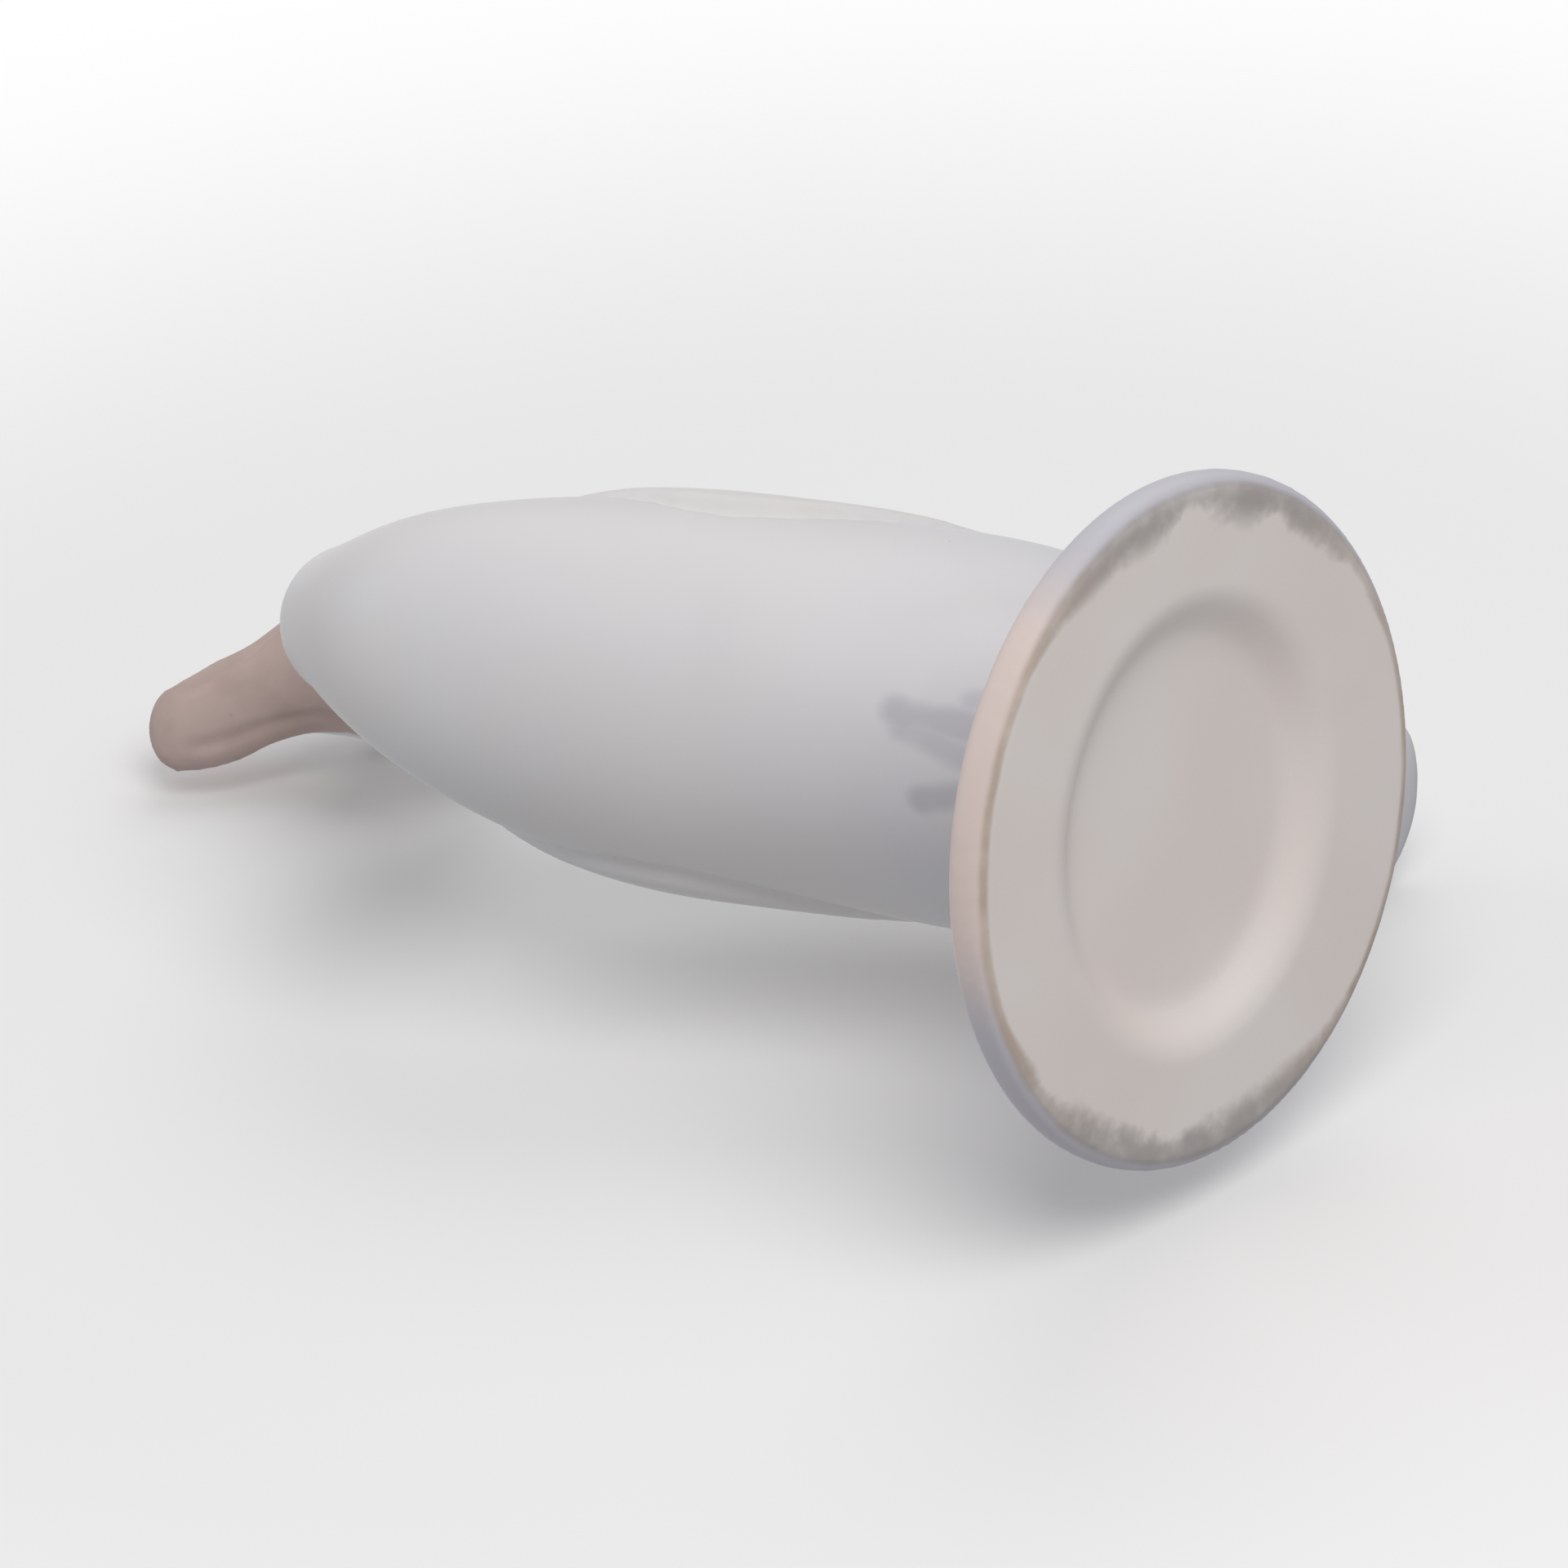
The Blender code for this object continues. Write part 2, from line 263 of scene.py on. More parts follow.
def natural_spline(knots, values, where):
    """Smooth curve through values at the knots, with no bend at either end."""
    knots = np.asarray(knots, float)
    values = np.asarray(values, float)
    gaps = np.diff(knots)
    slopes = np.diff(values, axis=0) / gaps[:, None]
    count = len(knots)
    system = np.eye(count)
    right = np.zeros_like(values)
    for i in range(1, count - 1):
        system[i, i - 1] = gaps[i - 1]
        system[i, i] = 2.0 * (gaps[i - 1] + gaps[i])
        system[i, i + 1] = gaps[i]
        right[i] = 6.0 * (slopes[i] - slopes[i - 1])
    bends = np.linalg.solve(system, right)
    cell = np.clip(np.searchsorted(knots, where, side="right") - 1, 0, count - 2)
    gap = gaps[cell][:, None]
    ahead = (knots[cell + 1] - where)[:, None]
    behind = (where - knots[cell])[:, None]
    return (
        bends[cell] * ahead**3 / (6.0 * gap)
        + bends[cell + 1] * behind**3 / (6.0 * gap)
        + (values[cell] / gap - bends[cell] * gap / 6.0) * ahead
        + (values[cell + 1] / gap - bends[cell + 1] * gap / 6.0) * behind
    )


def smooth_step(low, high, value):
    share = np.clip((value - low) / (high - low), 0.0, 1.0)
    return share * share * (3.0 - 2.0 * share)


def round_end(share):
    """Factor that closes a section to a round nose over the last stretch of its length."""
    return np.sqrt(1.0 - (1.0 - np.clip(share, 0.0, 1.0)) ** 2)


def spine():
    """Centres, widths, depths and frames of the goose's sections, evenly spaced along it."""
    sections = np.array([station[1:] for station in GOOSE_STATIONS]) * MM
    centres = sections[:, :3] * np.array([1.0, -1.0, 1.0])
    centres[:, 2] += FOOT_HEIGHT
    sizes = sections[:, 3:]
    steps = np.linalg.norm(np.diff(centres, axis=0), axis=1)
    knots = np.concatenate([[0.0], np.cumsum(steps)])
    nose = 1.0 - np.cos(np.linspace(NOSE_START, math.pi / 2.0, NOSE_RINGS))
    body = np.linspace(TAIL_NOSE, knots[-1] - BILL_NOSE, GOOSE_RINGS)
    along = np.concatenate([nose[:-1] * TAIL_NOSE, body, knots[-1] - nose[-2::-1] * BILL_NOSE])
    points = natural_spline(knots, centres, along)
    rounding = round_end(along / TAIL_NOSE) * round_end((knots[-1] - along) / BILL_NOSE)
    spans = natural_spline(knots, sizes, along) * rounding[:, None]
    tangents = np.gradient(points, along, axis=0)
    tangents /= np.linalg.norm(tangents, axis=1)[:, None]
    sides = np.zeros_like(points)
    side = np.array([1.0, 0.0, 0.0])
    for i, tangent in enumerate(tangents):
        side = side - tangent * side.dot(tangent)
        side /= np.linalg.norm(side)
        sides[i] = side
    backs = np.cross(tangents, sides)
    return points, spans, sides, backs, along / knots[-1]


def flank_angles(edge):
    """Angles up one flank, closer together where a wing's lower edge steps in."""
    half = WING_EDGE_BLEND / 2.0
    step = np.linspace(edge - half, edge + half, EDGE_STEPS)
    upper = np.linspace(edge + half, math.pi / 2.0, FLANK_STEPS)[1:-1]
    lower = np.linspace(-math.pi / 2.0, edge - half, FLANK_STEPS)[1:-1]
    return np.concatenate([[-math.pi / 2.0], lower, step, upper, [math.pi / 2.0]])


def ring_angles(edge):
    """Angles round a section, up the left flank and down the right one."""
    left = flank_angles(edge + WING_ROLL)
    right = math.pi - flank_angles(edge - WING_ROLL)[1:-1][::-1]
    return np.concatenate([left, right])


def wing_lift(share, angle):
    """How far a folded wing stands out of the body at one place."""
    table = np.array(WING_STATIONS)
    roll = np.sign(np.cos(angle)) * WING_ROLL
    edge = math.radians(np.interp(share, table[:, 0], table[:, 1])) + roll
    height = np.interp(share, table[:, 0], table[:, 2], left=0.0, right=0.0) * WING_LIFT
    up = np.arctan2(np.sin(angle), np.abs(np.cos(angle)))
    half = WING_EDGE_BLEND / 2.0
    stands = smooth_step(edge - half, edge + half, up)
    fades = 1.0 - smooth_step(WING_TOP_ANGLE - WING_TOP_BLEND, WING_TOP_ANGLE, up)
    return height * stands * (WING_TOP_SHARE + (1.0 - WING_TOP_SHARE) * fades)


def goose_rings():
    points, spans, sides, backs, shares = spine()
    table = np.array(WING_STATIONS)
    rings = []
    for point, (width, depth), side, back, share in zip(points, spans, sides, backs, shares):
        edge = math.radians(np.interp(share, table[:, 0], table[:, 1]))
        angles = ring_angles(edge)
        across = np.cos(angles)[:, None] * side
        upward = np.sin(angles)[:, None] * back
        outward = across / width + upward / depth
        outward /= np.linalg.norm(outward, axis=1)[:, None]
        lift = wing_lift(share, angles)[:, None]
        rings.append(point + across * width + upward * depth + outward * lift)
    return rings


def skull_frame():
    """Middle of the skull's egg, its long axis, and its right and under directions."""
    middle = np.array(SKULL_MIDDLE) * np.array([1.0, -1.0, 1.0]) * MM
    middle[2] += FOOT_HEIGHT
    axis = np.array(SKULL_AXIS) * np.array([1.0, -1.0, 1.0])
    axis /= np.linalg.norm(axis)
    right = np.cross(axis, np.array([0.0, 1.0, 0.0]))
    right /= np.linalg.norm(right)
    return middle, axis, right, np.cross(axis, right)


def skull_radius(turn):
    """Radius of the egg at an angle from its hind end."""
    return SKULL_HALF_WIDTH * math.sin(turn) * (1.0 + SKULL_TAPER * math.cos(turn))


def skull_rings():
    """Circles of the skull's egg, from its hind end to its forehead."""
    middle, axis, right, under = skull_frame()
    around = np.linspace(0.0, 2.0 * math.pi, SKULL_SEGMENTS, endpoint=False)
    circle = np.cos(around)[:, None] * right + np.sin(around)[:, None] * under
    rings = []
    for turn in np.linspace(SKULL_POLE, math.pi - SKULL_POLE, SKULL_RINGS):
        along = middle - axis * SKULL_HALF_LENGTH * math.cos(turn)
        rings.append(along + circle * skull_radius(turn))
    return rings


def oval(half_width, half_depth, height, side, front, turn):
    """Level oval about a middle, its long axis turned from the goose's side towards its breast."""
    around = np.linspace(0.0, 2.0 * math.pi, FOOT_SEGMENTS, endpoint=False)
    along = half_width * np.cos(around)
    across = half_depth * np.sin(around)
    x = side + along * math.cos(turn) - across * math.sin(turn)
    y = -front - along * math.sin(turn) - across * math.cos(turn)
    return np.stack([x, y, np.full(FOOT_SEGMENTS, height)], axis=1)


def round_profile(radius, start, end, steps):
    """Inset and rise along a round edge, from its start angle to its end angle."""
    for angle in np.linspace(math.radians(start), math.radians(end), steps):
        yield radius * (1.0 - math.cos(angle)), radius * math.sin(angle)


def foot_rings():
    """Ovals of the foot and its mound, from the middle of the recess out, round and up."""
    half_width = FOOT_WIDTH / 2.0
    half_depth = FOOT_DEPTH / 2.0
    rim_outer = FOOT_LOWER_ROUND
    rim_inner = FOOT_LOWER_ROUND + RIM_WIDTH

    def foot_oval(inset, height):
        return oval(half_width - inset, half_depth - inset, height, FOOT_SIDE, FOOT_FRONT, FOOT_TURN)

    rings = [foot_oval(half_depth * share, RECESS_DEPTH) for share in RECESS_FLOOR_SHARES]
    rings.append(foot_oval(rim_inner + RECESS_WALL_RUN, RECESS_DEPTH))
    for share in np.linspace(1.0 / RECESS_WALL_STEPS, 1.0, RECESS_WALL_STEPS):
        fall = (1.0 - math.cos(math.pi * share)) / 2.0
        inset = rim_inner + RECESS_WALL_RUN * (1.0 - share)
        rings.append(foot_oval(inset, RECESS_DEPTH * (1.0 - fall)))
    for inset in np.linspace(rim_inner, rim_outer, RIM_STEPS + 1)[1:]:
        rings.append(foot_oval(inset, 0.0))
    for inset, rise in round_profile(FOOT_LOWER_ROUND, FOOT_LOWER_ARC, 0.0, FOOT_LOWER_STEPS):
        rings.append(foot_oval(inset, FOOT_LOWER_ROUND - rise))
    upper_start = FOOT_EDGE_HEIGHT - FOOT_UPPER_ROUND
    for inset, rise in round_profile(FOOT_UPPER_ROUND, 0.0, FOOT_UPPER_ARC, FOOT_UPPER_STEPS):
        rings.append(foot_oval(inset, upper_start + rise))
    levels = np.array(MOUND_LEVELS) * MM
    heights = np.linspace(levels[0, 0], levels[-1, 0], MOUND_RINGS)
    for height in heights:
        front, width, depth = (np.interp(height, levels[:, 0], column) for column in levels.T[1:])
        rings.append(oval(width, depth, FOOT_HEIGHT + height, 0.0, front, 0.0))
    return rings


def middle_of(rings):
    """Where the whole figure's box has its middle, seen from above."""
    points = np.concatenate(rings)
    middle = (points.min(axis=0) + points.max(axis=0)) / 2.0
    return np.array([middle[0], middle[1], 0.0])


GOOSE = goose_rings()
FOOT = foot_rings()
SKULL = skull_rings()
MIDDLE = middle_of(GOOSE + FOOT + SKULL)


def place(side, front, height):
    """A point of the figurine, from its distances in millimetres."""
    return np.array([side, -front, height]) * MM - MIDDLE


def skin(work, rings):
    """Add a closed skin over a row of rings that all have the same number of points."""
    rows = [[work.verts.new(point - MIDDLE) for point in ring] for ring in rings]
    for lower, upper in zip(rows, rows[1:]):
        for i in range(len(lower)):
            following = (i + 1) % len(lower)
            work.faces.new((lower[i], lower[following], upper[following], upper[i]))
    work.faces.new(rows[0])
    work.faces.new(rows[-1])


def apply_modifiers(obj):
    """Give the object the mesh that all its modifiers make."""
    evaluated = obj.evaluated_get(bpy.context.evaluated_depsgraph_get())
    mesh = bpy.data.meshes.new_from_object(evaluated)
    obj.modifiers.clear()
    obj.data = mesh
    mesh.name = obj.name


def read_points(mesh):
    points = np.zeros(len(mesh.vertices) * 3)
    mesh.vertices.foreach_get("co", points)
    return points.reshape(-1, 3)


def read_normals(mesh):
    normals = np.zeros(len(mesh.vertices) * 3)
    mesh.vertex_normals.foreach_get("vector", normals)
    return normals.reshape(-1, 3)


class Around(NamedTuple):
    """Where points lie on the goose: share of its length, angle in degrees, distance from its spine,
    angle on the section's own oval, and 1 on the left side or -1 on the right."""

    shares: np.ndarray
    angles: np.ndarray
    radii: np.ndarray
    turns: np.ndarray
    hands: np.ndarray


def along_goose(points):
    centres, spans, sides, backs, shares = spine()
    tree = KDTree(len(centres))
    for i, centre in enumerate(centres - MIDDLE):
        tree.insert(centre, i)
    tree.balance()
    nearest = np.array([tree.find(point)[1] for point in points])
    offset = points - (centres - MIDDLE)[nearest]
    left = (offset * sides[nearest]).sum(axis=1)
    up = (offset * backs[nearest]).sum(axis=1)
    out = np.abs(left)
    width, depth = spans[nearest].T
    angles = np.degrees(np.arctan2(up, out))
    turns = np.degrees(np.arctan2(up / depth, out / width))
    return Around(shares[nearest], angles, np.hypot(left, up), turns, np.sign(left))


def bump(distance, reach):
    """1 in the middle, easing to 0 at the reach."""
    return 1.0 - smooth_step(0.0, reach, np.abs(distance))


def groove_depth(groove, around):
    """How far a groove goes in at each point."""
    shares = around.shares
    line = groove.start_angle + (shares - groove.start) / (groove.end - groove.start) * (
        groove.end_angle - groove.start_angle
    )
    apart = np.radians(np.abs(around.angles - line)) * around.radii
    fade = (groove.end - groove.start) * GROOVE_FADE
    ends = smooth_step(groove.start, groove.start + fade, shares) * (
        1.0 - smooth_step(groove.end - fade, groove.end, shares)
    )
    return groove.depth * MM * ends * bump(apart, 2.0 * groove.half_width * MM)


def wing_crease(around):
    """Depth of the crease that runs along the lower edge of each wing."""
    table = np.array(WING_STATIONS)
    roll = around.hands * math.degrees(WING_ROLL)
    edge = np.interp(around.shares, table[:, 0], table[:, 1]) + roll
    foot = edge - math.degrees(WING_EDGE_BLEND) * CREASE_BELOW
    deep = np.interp(around.shares, table[:, 0], table[:, 2], left=0.0, right=0.0)
    apart = np.radians(np.abs(around.turns - foot)) * around.radii
    return CREASE_DEPTH * MM * deep * bump(apart, CREASE_REACH * MM)


def above_mound(points):
    """0 on the foot and 1 on the goose."""
    return smooth_step(*GOOSE_FROM, points[:, 2] / MM)


def nostril_places():
    """Both nostrils' places, as raw coordinates before centring."""
    centres, spans, sides, backs, shares = spine()
    i = int(np.argmin(np.abs(shares - NOSTRIL_SHARE)))
    turn = math.radians(NOSTRIL_ANGLE)
    over = centres[i] + backs[i] * math.sin(turn) * spans[i, 1]
    out = sides[i] * math.cos(turn) * spans[i, 0]
    return over + out, over - out


def eye_places():
    """Both eyes' places on the skull, as raw coordinates before centring."""
    middle, axis, right, under = skull_frame()
    level = middle - axis * SKULL_HALF_LENGTH * math.cos(EYE_TURN)
    radius = skull_radius(EYE_TURN)
    over = level - under * radius * math.sin(EYE_LIFT)
    out = right * radius * math.cos(EYE_LIFT)
    return over + out, over - out


def dome(points, middles, radius, rise):
    """A round rise about each middle."""
    total = np.zeros(len(points))
    for middle in middles:
        total += rise * MM * bump(np.linalg.norm(points - (middle - MIDDLE), axis=1), radius * MM)
    return total


def feet_rise(points):
    """How far the webbed feet stand up from the foot's top and edge."""
    side = (points[:, 0] + MIDDLE[0]) / MM
    front = -(points[:, 1] + MIDDLE[1]) / MM
    height = points[:, 2] / MM
    rise = np.zeros(len(points))
    for heel_side, heel_front, heading in HEELS:
        away = np.hypot(side - heel_side, front - heel_front)
        turn = np.degrees(np.arctan2(side - heel_side, front - heel_front)) - heading
        inside = 1.0 - smooth_step(*FEET_SIDES, np.abs(turn))
        starts = smooth_step(*FEET_START, away)
        wave = np.cos(np.radians(turn) * 360.0 / SCALLOP_TURN + math.pi)
        scallop = FEET_REACH - SCALLOP_DEPTH * wave - SCALLOP_DEPTH
        web = inside * (1.0 - smooth_step(scallop - WEB_END, scallop, away)) * starts
        toes = np.zeros(len(points))
        for toe in TOES:
            apart = np.radians(np.abs(turn - toe)) * away
            toes = np.maximum(toes, bump(apart, 2.0 * TOE_HALF_WIDTH) * starts)
        toes *= 1.0 - smooth_step(FEET_REACH - TOE_END, FEET_REACH, away)
        rise = np.maximum(rise, web * WEB_RISE + toes * TOE_RISE)
    on_top = smooth_step(*FEET_EDGE_HEIGHT, height) * (1.0 - smooth_step(*FEET_TOP_HEIGHT, height))
    return rise * MM * on_top


def carve(mesh):
    """Move the skin along its normals for feathers, mouth, eyes, nostrils and feet."""
    points = read_points(mesh)
    normals = read_normals(mesh)
    around = along_goose(points)
    move = feet_rise(points) * smooth_step(0.0, FEET_LEVEL_FROM, normals[:, 2])
    for groove in (MOUTH, MOUTH_LIP, BILL_RIDGE) + FEATHERS:
        move -= groove_depth(groove, around) * above_mound(points)
    move -= wing_crease(around) * above_mound(points)
    move += dome(points, eye_places(), EYE_RADIUS, EYE_RISE)
    move -= dome(points, nostril_places(), NOSTRIL_RADIUS, NOSTRIL_DEPTH)
    points += normals * move[:, None]
    mesh.vertices.foreach_set("co", points.ravel())
    mesh.update()


def refine_head(mesh):
    """Divide the head and bill more finely, for their small carving."""
    points = read_points(mesh)
    on_head = (along_goose(points).shares > HEAD_SHARE) & (points[:, 2] > HEAD_HEIGHT * MM)
    work = bmesh.new()
    work.from_mesh(mesh)
    work.verts.ensure_lookup_table()
    edges = [edge for edge in work.edges if all(on_head[vertex.index] for vertex in edge.verts)]
    bmesh.ops.subdivide_edges(work, edges=edges, cuts=1, use_grid_fill=True)
    work.to_mesh(mesh)
    work.free()


def model_porcelain():
    """The figurine as one skin, melted together and softened as slip and glaze are."""
    work = bmesh.new()
    skin(work, GOOSE)
    skin(work, FOOT)
    skin(work, SKULL)
    bmesh.ops.recalc_face_normals(work, faces=work.faces)
    mesh = bpy.data.meshes.new("porcelain_body")
    work.to_mesh(mesh)
    work.free()
    body = bpy.data.objects.new("porcelain_body", mesh)
    bpy.context.scene.collection.objects.link(body)
    melt = body.modifiers.new("melt", "REMESH")
    melt.mode = "VOXEL"
    melt.voxel_size = GRAIN
    apply_modifiers(body)
    join = body.vertex_groups.new(name="joins")
    weights = np.zeros(len(body.data.vertices))
    for (middle, reach), strength in zip(JOINS, JOIN_STRENGTHS):
        away = np.linalg.norm(read_points(body.data) - place(*middle), axis=1) / MM
        weights = np.maximum(weights, strength * (1.0 - smooth_step(*reach, away)))
    for i in np.flatnonzero(weights > 0.0):
        join.add([int(i)], float(weights[i]), "REPLACE")
    blend = body.modifiers.new("blend", "SMOOTH")
    blend.factor = PASS_SHARE
    blend.iterations = JOIN_PASSES
    blend.vertex_group = join.name
    soften = body.modifiers.new("soften", "SMOOTH")
    soften.factor = PASS_SHARE
    soften.iterations = GLAZE_PASSES
    apply_modifiers(body)
    refine_head(body.data)
    carve(body.data)
    body.data.shade_smooth()
    return body


class Wire:
    """A shader socket that can be worked with like a number."""

    def __init__(self, finish, socket):
        self.finish = finish
        self.socket = socket

    def __add__(self, other):
        return self.finish.maths("ADD", self, other)

    def __sub__(self, other):
        return self.finish.maths("SUBTRACT", self, other)

    def __mul__(self, other):
        return self.finish.maths("MULTIPLY", self, other)

    def __truediv__(self, other):
        return self.finish.maths("DIVIDE", self, other)

    def __radd__(self, other):
        return self.finish.maths("ADD", other, self)

    def __rsub__(self, other):
        return self.finish.maths("SUBTRACT", other, self)

    def ramp(self, low, high):
        """0 at low, 1 at high, eased between."""
        inputs = {"Value": self, "From Min": low, "From Max": high}
        return self.finish.node("ShaderNodeMapRange", {"interpolation_type": "SMOOTHSTEP"}, inputs)

    def higher(self, other):
        return self.finish.maths("MAXIMUM", self, other)

    def lower(self, other):
        return self.finish.maths("MINIMUM", self, other)

    def size(self):
        return self.finish.maths("ABSOLUTE", self)


class Finish:
    """A material's nodes, with places on the figurine in millimetres."""

    def __init__(self, name):
        self.material = bpy.data.materials.new(name)
        self.material.use_nodes = True
        self.tree = self.material.node_tree
        self.shader = self.tree.nodes["Principled BSDF"]

    def feed(self, socket, value):
        if isinstance(value, Wire):
            self.tree.links.new(value.socket, socket)
        else:
            socket.default_value = value

    def node(self, kind, settings=None, inputs=None, output=0):
        made = self.tree.nodes.new(kind)
        for key, value in (settings or {}).items():
            setattr(made, key, value)
        for key, value in (inputs or {}).items():
            self.feed(made.inputs[key], value)
        return Wire(self, made.outputs[output])

    def maths(self, operation, first, second=0.0, clamp=False):
        settings = {"operation": operation, "use_clamp": clamp}
        return self.node("ShaderNodeMath", settings, {0: first, 1: second})

    def vector(self, operation, first, second=(0.0, 0.0, 0.0), output=0):
        inputs = {0: first, 1: second}
        return self.node("ShaderNodeVectorMath", {"operation": operation}, inputs, output)

    def scaled(self, vector, factor):
        inputs = {0: vector, "Scale": factor}
        return self.node("ShaderNodeVectorMath", {"operation": "SCALE"}, inputs)

    def mix(self, share, first, second):
        """Colour that goes from first to second as share goes from 0 to 1."""
        return self.node("ShaderNodeMix", {"data_type": "RGBA"}, {0: share, 6: first, 7: second}, 2)

    def spot(self):
        """Place on the figurine, in millimetres: x towards its left, y towards its tail, z up."""
        raw = self.node("ShaderNodeTexCoord", output=3)
        return self.vector("ADD", self.scaled(raw, 1.0 / MM), tuple(MIDDLE / MM))

    def part_of(self, vector, axis):
        return self.node("ShaderNodeSeparateXYZ", inputs={0: vector}, output=axis)

    def noise(self, spot, grain, detail, roughness=0.55):
        """Cloudy pattern from 0 to 1 whose patches are about the grain wide, in millimetres."""
        inputs = {"Vector": spot, "Scale": 1.0 / grain, "Detail": detail, "Roughness": roughness}
        return self.node("ShaderNodeTexNoise", inputs=inputs)

    def from_line(self, spot, start, end):
        """Distance from a straight line between two places given as side, front and height."""
        first = np.array([start[0], -start[1], start[2]])
        along = np.array([end[0], -end[1], end[2]]) - first
        offset = self.vector("SUBTRACT", spot, tuple(first))
        dot = self.vector("DOT_PRODUCT", offset, tuple(along / along.dot(along)), output=1)
        share = self.maths("ADD", dot, 0.0, clamp=True)
        return self.vector("DISTANCE", offset, self.scaled(tuple(along), share), output=1)

    def past_plane(self, spot, through, ahead):
        """Distance in front of a plane, from one of its places and its direction."""
        offset = self.vector("SUBTRACT", spot, (through[0], -through[1], through[2]))
        return self.vector("DOT_PRODUCT", offset, (ahead[0], -ahead[1], ahead[2]), output=1)

    def from_point(self, spot, middle):
        return self.vector("DISTANCE", spot, (middle[0], -middle[1], middle[2]), output=1)

    def set(self, **values):
        for key, value in values.items():
            self.feed(self.shader.inputs[key.replace("_", " ").title()], value)


# Glaze, paint and painted shade
WHITE_GLAZE = (0.775, 0.765, 0.785, 1.0)
WARM_GLAZE = (0.785, 0.765, 0.755, 1.0)
# Lilac painted shade that darkens the body towards the foot
LILAC_PAINTED_SHADE = (0.63, 0.62, 0.68, 1.0)
FOOT_GLAZE = (0.61, 0.595, 0.645, 1.0)
BISCUIT = (0.87, 0.79, 0.755, 1.0)
BISCUIT_PALE = (0.89, 0.83, 0.80, 1.0)
BILL_PAINT = (0.56, 0.43, 0.395, 1.0)
# Darker copy of the bill paint, taken from the bill in shade: painted shade
BILL_PAINTED_SHADE = (0.46, 0.345, 0.305, 1.0)
WEB_PAINT = (0.86, 0.71, 0.655, 1.0)
STROKE_PAINT = (0.47, 0.46, 0.50, 1.0)
EYE_PAINT = (0.035, 0.03, 0.03, 1.0)
NOSTRIL_PAINT = (0.36, 0.25, 0.22, 1.0)
GREY_STAIN = (0.40, 0.37, 0.36, 1.0)
TAN_STAIN = (0.55, 0.43, 0.34, 1.0)
SPECK = (0.40, 0.34, 0.29, 1.0)


class Stroke(NamedTuple):
    """One soft stroke of the brush, between two places in millimetres."""

    start: tuple
    end: tuple
    half_width: float
    strength: float


FRONT_STROKES = (
    Stroke((2.6, 5.1, 33.6), (2.6, 1.6, 26.5), 1.5, 0.62),
    Stroke((2.7, 5.1, 33.6), (2.3, 4.7, 33.0), 1.6, 0.62),
    Stroke((1.4, 4.6, 33.2), (-0.2, 1.8, 27.0), 1.25, 0.5),
    Stroke((-4.5, 2.5, 31.2), (-3.2, 1.6, 26.5), 1.2, 0.6),
    Stroke((4.6, 1.2, 28.4), (5.6, 0.0, 24.5), 1.1, 0.45),
)
SIDE_STROKES = (
    Stroke((-10.9, -4.6, 28.4), (-10.0, -5.9, 19.3), 1.1, 0.8),
    Stroke((-10.4, -3.0, 27.9), (-9.0, -3.0, 21.4), 1.0, 0.7),
    Stroke((-7.6, -1.2, 26.0), (-8.2, -2.6, 19.4), 1.1, 0.8),
    Stroke((-11.2, -10.5, 30.4), (-10.4, -10.5, 22.0), 1.1, 0.7),
    Stroke((-9.0, -15.4, 29.8), (-8.2, -14.6, 21.6), 1.1, 0.7),
)
STROKE_SOFTNESS = 0.75
STROKE_WAVER = 0.9

# Grain of the glaze's and the clay's patterns, in millimetres
CLOUD_GRAIN = 26.0
MOTTLE_GRAIN = 4.5
FINE_GRAIN = 0.35
WAVER_GRAIN = 8.0
SPECK_SPACING = 6.0

# Where paint, glaze and painted shade end, in millimetres
BILL_LINE = (-8.0, -9.6, 119.0)
BILL_AHEAD = (-0.02, 0.96, -0.28)
BILL_LINE_SOFTNESS = (-0.4, 0.6)
CHIN_LINE = (-9.8, -8.0, 120.3)
CHIN_AHEAD = (-0.58, 0.69, 0.43)
CHIN_LINE_SOFTNESS = (-6.2, -5.2)
HEAD_FROM = (107.0, 109.0)
EYE_EDGE = (1.05, 1.2)
NOSTRIL_EDGE = (0.25, 0.8)
# Heights over which the lilac painted shade fades out up the body
LILAC_SHADE_BAND = (12.0, 46.0)
WEB_BAND_SIDE = (12.0, 22.0)
WEB_BAND_FRONT = (6.0, 13.0)
FOOT_TOP_BAND = (7.0, 10.0)
GLAZE_LINE = 1.0
GLAZE_LINE_SOFTNESS = (0.7, 1.2)
GLAZE_LINE_HEIGHT = (0.7, 1.1)
RECESS_EDGE = (0.74, 0.80)
RECESS_HEIGHT = (3.6, 4.2)
STAIN_START = 0.4
STAIN_WIDTH = (0.6, 0.4, 2.6)
STAIN_ENDS = (0.45, 0.92)
KILN_SPOT = (-19.5, -7.6, 2.0)
KILN_SPOT_EDGE = (0.5, 1.9)
SPECK_EDGE = (0.018, 0.034)
SPECK_PICK = (0.62, 0.66)

# Sheen and fine relief
GLAZE_ROUGHNESS = 0.56
RELIEF_STRENGTH = 0.35
RELIEF_HEIGHT = 0.06 * MM


def strokes_mask(finish, spot, ragged):
    """Grey strokes painted on the belly and down the mound, the same on both sides."""
    mirrored = tuple(
        Stroke((-s.start[0],) + s.start[1:], (-s.end[0],) + s.end[1:], s.half_width, s.strength)
        for s in SIDE_STROKES
    )
    mask = None
    for stroke in FRONT_STROKES + SIDE_STROKES + mirrored:
        far = finish.from_line(spot, stroke.start, stroke.end) + ragged * STROKE_WAVER
        inner = stroke.half_width - STROKE_SOFTNESS
        outer = stroke.half_width + STROKE_SOFTNESS
        painted = (1.0 - far.ramp(inner, outer)) * stroke.strength
        mask = painted if mask is None else mask.higher(painted)
    return mask


def nearest_spot(finish, spot, places):
    """Distance from the nearer of two places."""
    first, second = (finish.vector("DISTANCE", spot, tuple(where / MM), output=1) for where in places)
    return first.lower(second)


